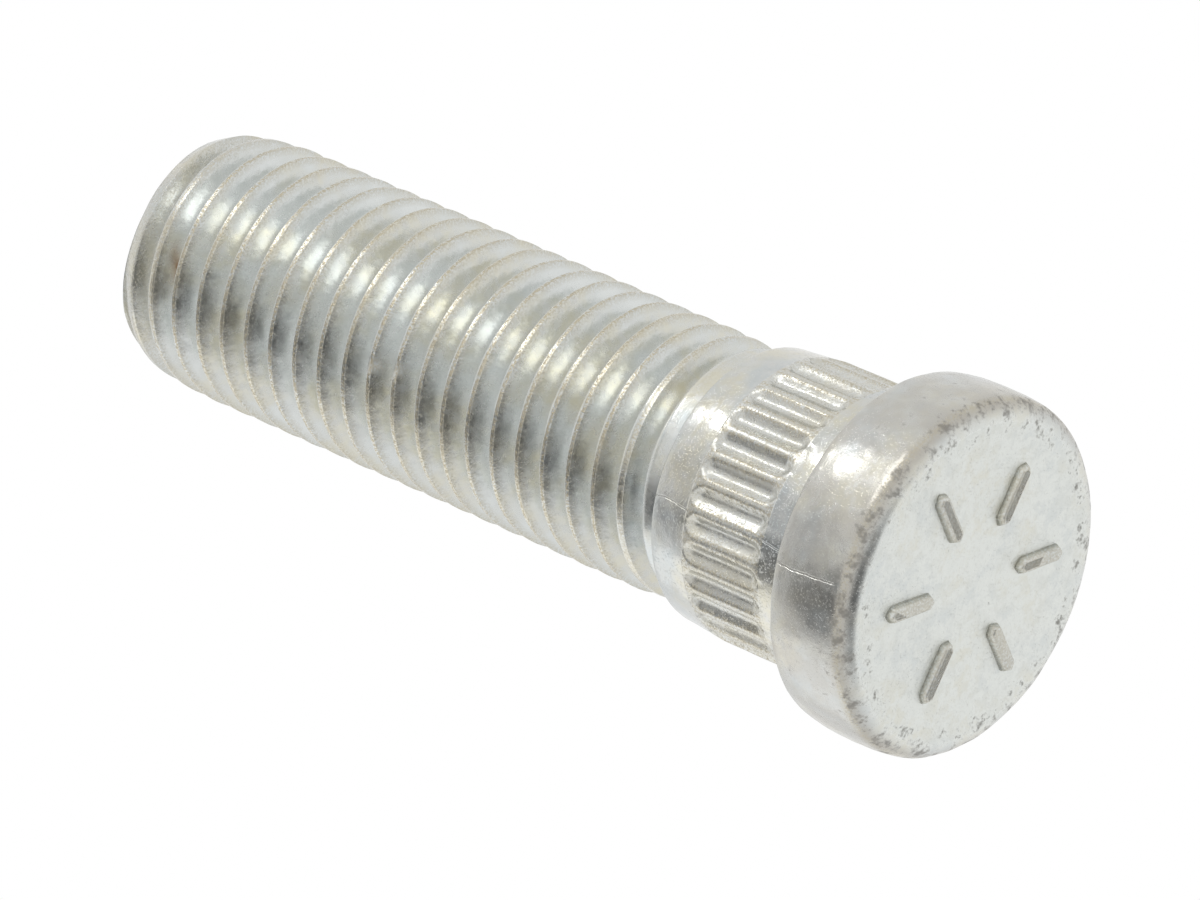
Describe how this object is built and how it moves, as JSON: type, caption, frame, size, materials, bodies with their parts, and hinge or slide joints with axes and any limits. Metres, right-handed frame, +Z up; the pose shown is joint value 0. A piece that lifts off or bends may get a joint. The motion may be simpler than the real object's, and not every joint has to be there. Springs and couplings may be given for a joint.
{
  "type": "wheel stud",
  "caption": "Press-in wheel stud with a round head, a knurled collar and a fine metric thread, in zinc-plated steel.",
  "frame": {"origin": "on the stud's axis, level with the tops of the raised marks on the head, which it stands on", "axes": "+Z up along the axis from the head to the tip of the thread; X and Y are square to it, with one groove of the knurl on each of them"},
  "size_m": [0.0164, 0.0164, 0.0463],
  "materials": {
    "zinc_plated_steel": "bright zinc plating over rolled steel, with a faint blue and straw tint"
  },
  "bodies": {
    "root": {"wheel_stud": "zinc_plated_steel"}
  },
  "joints": []
}
